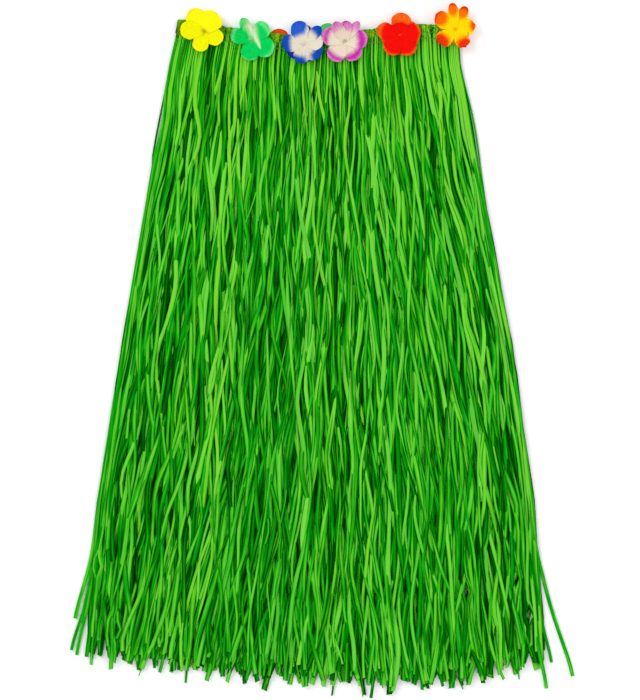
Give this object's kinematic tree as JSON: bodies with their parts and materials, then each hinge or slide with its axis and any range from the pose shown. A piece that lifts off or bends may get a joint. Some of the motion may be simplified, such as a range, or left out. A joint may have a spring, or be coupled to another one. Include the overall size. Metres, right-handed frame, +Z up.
{
  "type": "hula skirt",
  "caption": "Long green raffia hula skirt laid flat, with a gathered elastic waistband and bright cloth flowers tacked along the waist",
  "frame": {"origin": "Middle of the skirt's box on the surface that it lies on", "axes": "+Y towards the waist, +Z up out of the front of the skirt, +X to the right seen from above"},
  "size_m": [0.6154, 0.8496, 0.0146],
  "materials": {
    "waistband": "raffia gathered over elastic, crinkled, soft sheen",
    "raffia_front": "artificial raffia, flat crinkled ribbons with a soft sheen",
    "raffia_back": "artificial raffia, flat crinkled ribbons with a soft sheen",
    "petals_yellow": "dyed polyester cloth, matt",
    "petals_green": "dyed polyester cloth, matt",
    "petals_blue": "dyed polyester cloth with a cream centre, matt",
    "petals_violet": "dyed polyester cloth with a cream centre, matt",
    "petals_red": "dyed polyester cloth with orange rims, matt",
    "petals_orange": "dyed polyester cloth with a yellow centre and red tips, matt",
    "petals_back_red": "dyed polyester cloth, matt"
  },
  "bodies": {
    "root": {"waistband_front": "waistband", "waistband_back": "waistband", "fringe_front": "raffia_front", "fringe_back": "raffia_back", "flower_yellow": "petals_yellow", "flower_green": "petals_green", "flower_blue": "petals_blue", "flower_blue_under": "petals_blue", "flower_violet": "petals_violet", "flower_red": "petals_red", "flower_red_under": "petals_red", "flower_orange": "petals_orange", "flower_orange_under": "petals_orange", "back_flower_red": "petals_back_red", "back_flower_green": "petals_green"}
  },
  "joints": []
}
